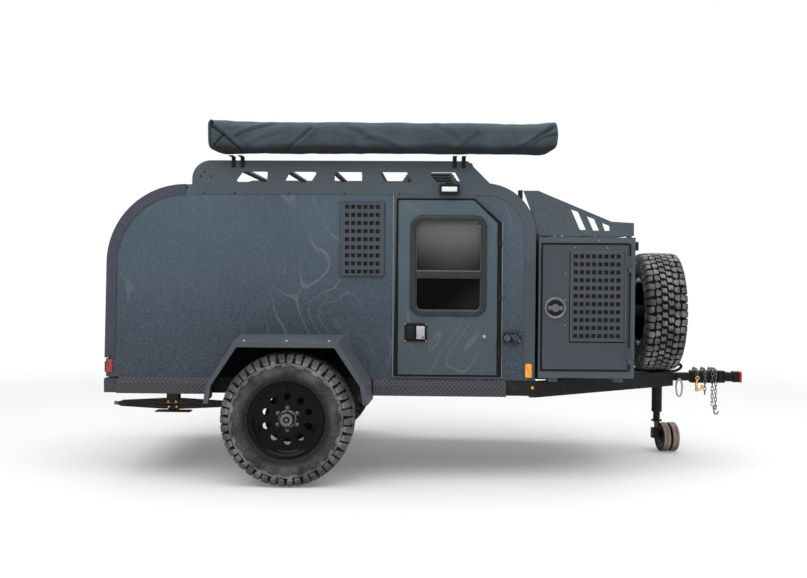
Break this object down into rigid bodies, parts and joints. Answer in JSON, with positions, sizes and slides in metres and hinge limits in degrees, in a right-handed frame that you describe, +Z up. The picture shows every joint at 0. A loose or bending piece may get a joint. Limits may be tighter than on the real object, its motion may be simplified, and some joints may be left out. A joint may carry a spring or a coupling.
{
  "type": "teardrop camping trailer",
  "caption": "Off-road teardrop trailer: hollow body with cabin doors, rear hatch and roof rack, front storage box, spare wheel, drop-leg jack and scissor stabilisers.",
  "frame": {"origin": "on the ground, midway between the rear bumper's face and the tow bar's end, on the centreline", "axes": "+X ahead to the coupler, +Y left, +Z up"},
  "size_m": [4.313, 2.2, 2.293],
  "materials": {
    "panel_paint": "satin slate",
    "trim_paint": "satin grey",
    "frame_black": "textured black",
    "sill_grey": "textured grey",
    "tyre": "matt",
    "wheel_black": "gloss black",
    "glass": "dark tint",
    "fabric": "woven",
    "black_plastic": "matt",
    "lamp": "gloss",
    "zinc": "zinc plated",
    "interior": "matt"
  },
  "bodies": {
    "trailer": {"side_rails": "frame_black", "cross_members": "frame_black", "drawbar_arms": "frame_black", "drawbar_tube": "frame_black", "rear_bumper": "sill_grey", "sill_guards": "sill_grey", "fenders": "trim_paint", "axle": "frame_black", "floor": "interior", "side_walls": "panel_paint", "body_skins": "panel_paint", "galley": "interior", "door_surrounds": "frame_black", "front_trims": "trim_paint", "rack_plates": "trim_paint", "rack_crossbars": "frame_black", "roof_fan": "black_plastic", "awning_bag": "fabric", "awning_brackets": "frame_black", "wall_vents": "trim_paint", "box_body": "trim_paint", "box_rack": "trim_paint", "lamps": "lamp", "spare_carrier": "frame_black", "spare_tyre": "tyre", "spare_rim": "wheel_black", "jack_outer": "frame_black", "stabiliser_brackets": "frame_black", "safety_chains": "zinc"},
    "hatch": {"hatch_skin": "panel_paint", "hatch_bands": "trim_paint"},
    "cabin_door_right": {"cabin_door_right": "panel_paint", "door_fittings_right": "frame_black", "window_glass_right": "glass"},
    "box_door_right": {"box_door_right": "trim_paint"},
    "wheel_right": {"tyre_right": "tyre", "rim_right": "wheel_black"},
    "stabiliser_drive_upper_right": {"stabiliser_drive_upper_right": "frame_black"},
    "stabiliser_idle_upper_right": {"stabiliser_idle_upper_right": "frame_black"},
    "stabiliser_drive_lower_right": {"stabiliser_drive_lower_right": "frame_black"},
    "stabiliser_idle_lower_right": {"stabiliser_idle_lower_right": "frame_black"},
    "stabiliser_foot_right": {"stabiliser_foot_right": "frame_black"},
    "stabiliser_screw_right": {"stabiliser_screw_right": "zinc"},
    "cabin_door_left": {"cabin_door_left": "panel_paint", "door_fittings_left": "frame_black", "window_glass_left": "glass"},
    "box_door_left": {"box_door_left": "trim_paint"},
    "wheel_left": {"tyre_left": "tyre", "rim_left": "wheel_black"},
    "stabiliser_drive_upper_left": {"stabiliser_drive_upper_left": "frame_black"},
    "stabiliser_idle_upper_left": {"stabiliser_idle_upper_left": "frame_black"},
    "stabiliser_drive_lower_left": {"stabiliser_drive_lower_left": "frame_black"},
    "stabiliser_idle_lower_left": {"stabiliser_idle_lower_left": "frame_black"},
    "stabiliser_foot_left": {"stabiliser_foot_left": "frame_black"},
    "stabiliser_screw_left": {"stabiliser_screw_left": "zinc"},
    "jack_leg": {"jack_leg": "frame_black"},
    "caster_fork": {"caster_fork": "frame_black"},
    "jack_wheels": {"jack_wheels": "tyre"},
    "coupler_swivel": {"coupler_swivel": "frame_black"},
    "tow_bar": {"tow_bar": "frame_black"}
  },
  "joints": [
    {"name": "wheel_spin_right", "type": "hinge", "parent": "trailer", "child": "wheel_right", "pos_m": [-0.9365, -0.939, 0.4155], "axis": [0, 1, 0], "continuous": true},
    {"name": "cabin_door_swing_right", "type": "hinge", "parent": "trailer", "child": "cabin_door_right", "pos_m": [0.3835, -0.808, 1.222], "axis": [0, 0, 1], "range_deg": [0, 170]},
    {"name": "box_door_swing_right", "type": "hinge", "parent": "trailer", "child": "box_door_right", "pos_m": [1.2105, -0.796, 1.11], "axis": [0, 0, 1], "range_deg": [0, 110]},
    {"name": "wheel_spin_left", "type": "hinge", "parent": "trailer", "child": "wheel_left", "pos_m": [-0.9365, 0.939, 0.4155], "axis": [0, 1, 0], "continuous": true},
    {"name": "cabin_door_swing_left", "type": "hinge", "parent": "trailer", "child": "cabin_door_left", "pos_m": [0.3835, 0.808, 1.222], "axis": [0, 0, -1], "range_deg": [0, 170]},
    {"name": "box_door_swing_left", "type": "hinge", "parent": "trailer", "child": "box_door_left", "pos_m": [1.2105, 0.796, 1.11], "axis": [0, 0, -1], "range_deg": [0, 110]},
    {"name": "hatch_lift", "type": "hinge", "parent": "trailer", "child": "hatch", "pos_m": [-1.6165, 0, 1.884], "axis": [0, 1, 0], "range_deg": [0, 80]},
    {"name": "stabiliser_unfold_right", "type": "hinge", "parent": "trailer", "child": "stabiliser_drive_upper_right", "pos_m": [-1.7385, -0.745, 0.487], "axis": [0, -1, 0], "range_deg": [0, 38]},
    {"name": "stabiliser_idle_upper_right", "type": "hinge", "parent": "trailer", "child": "stabiliser_idle_upper_right", "pos_m": [-1.6885, -0.745, 0.487], "axis": [0, 1, 0], "range_deg": [0, 38]},
    {"name": "stabiliser_drive_knee_right", "type": "hinge", "parent": "stabiliser_drive_upper_right", "child": "stabiliser_drive_lower_right", "pos_m": [-2.06801, -0.745, 0.469], "axis": [0, 1, 0], "range_deg": [0, 76]},
    {"name": "stabiliser_idle_knee_right", "type": "hinge", "parent": "stabiliser_idle_upper_right", "child": "stabiliser_idle_lower_right", "pos_m": [-1.35899, -0.745, 0.469], "axis": [0, -1, 0], "range_deg": [0, 76]},
    {"name": "stabiliser_foot_right", "type": "hinge", "parent": "stabiliser_idle_lower_right", "child": "stabiliser_foot_right", "pos_m": [-1.6885, -0.745, 0.451], "axis": [0, 1, 0], "range_deg": [0, 38]},
    {"name": "stabiliser_screw_right", "type": "hinge", "parent": "stabiliser_drive_upper_right", "child": "stabiliser_screw_right", "pos_m": [-2.06801, -0.745, 0.469], "axis": [0, 1, 0], "range_deg": [0, 38]},
    {"name": "stabiliser_unfold_left", "type": "hinge", "parent": "trailer", "child": "stabiliser_drive_upper_left", "pos_m": [-1.7385, 0.745, 0.487], "axis": [0, -1, 0], "range_deg": [0, 38]},
    {"name": "stabiliser_idle_upper_left", "type": "hinge", "parent": "trailer", "child": "stabiliser_idle_upper_left", "pos_m": [-1.6885, 0.745, 0.487], "axis": [0, 1, 0], "range_deg": [0, 38]},
    {"name": "stabiliser_drive_knee_left", "type": "hinge", "parent": "stabiliser_drive_upper_left", "child": "stabiliser_drive_lower_left", "pos_m": [-2.06801, 0.745, 0.469], "axis": [0, 1, 0], "range_deg": [0, 76]},
    {"name": "stabiliser_idle_knee_left", "type": "hinge", "parent": "stabiliser_idle_upper_left", "child": "stabiliser_idle_lower_left", "pos_m": [-1.35899, 0.745, 0.469], "axis": [0, -1, 0], "range_deg": [0, 76]},
    {"name": "stabiliser_foot_left", "type": "hinge", "parent": "stabiliser_idle_lower_left", "child": "stabiliser_foot_left", "pos_m": [-1.6885, 0.745, 0.451], "axis": [0, 1, 0], "range_deg": [0, 38]},
    {"name": "stabiliser_screw_left", "type": "hinge", "parent": "stabiliser_drive_upper_left", "child": "stabiliser_screw_left", "pos_m": [-2.06801, 0.745, 0.469], "axis": [0, 1, 0], "range_deg": [0, 38]},
    {"name": "jack_drop", "type": "slide", "parent": "trailer", "child": "jack_leg", "axis": [0, 0, -1], "range_m": [-0.045, 0.2]},
    {"name": "caster_swivel", "type": "hinge", "parent": "jack_leg", "child": "caster_fork", "pos_m": [1.6437, 0.33075, 0.232], "axis": [0, 0, 1], "continuous": true},
    {"name": "jack_wheel_spin", "type": "hinge", "parent": "caster_fork", "child": "jack_wheels", "pos_m": [1.64802, 0.30613, 0.106], "axis": [0.985, 0.1727, 0], "continuous": true},
    {"name": "coupler_yaw", "type": "hinge", "parent": "trailer", "child": "coupler_swivel", "pos_m": [2.0105, 0, 0.594], "axis": [0, 0, 1], "range_deg": [-40, 40]},
    {"name": "coupler_pitch", "type": "hinge", "parent": "coupler_swivel", "child": "tow_bar", "pos_m": [2.0755, 0, 0.5945], "axis": [0, 1, 0], "range_deg": [-12, 12]}
  ],
  "couplings": [
    {"joint": "stabiliser_idle_upper_right", "follows": "stabiliser_unfold_right", "ratio": 1},
    {"joint": "stabiliser_drive_knee_right", "follows": "stabiliser_unfold_right", "ratio": 2},
    {"joint": "stabiliser_idle_knee_right", "follows": "stabiliser_unfold_right", "ratio": 2},
    {"joint": "stabiliser_foot_right", "follows": "stabiliser_unfold_right", "ratio": 1},
    {"joint": "stabiliser_screw_right", "follows": "stabiliser_unfold_right", "ratio": 1},
    {"joint": "stabiliser_idle_upper_left", "follows": "stabiliser_unfold_left", "ratio": 1},
    {"joint": "stabiliser_drive_knee_left", "follows": "stabiliser_unfold_left", "ratio": 2},
    {"joint": "stabiliser_idle_knee_left", "follows": "stabiliser_unfold_left", "ratio": 2},
    {"joint": "stabiliser_foot_left", "follows": "stabiliser_unfold_left", "ratio": 1},
    {"joint": "stabiliser_screw_left", "follows": "stabiliser_unfold_left", "ratio": 1}
  ]
}
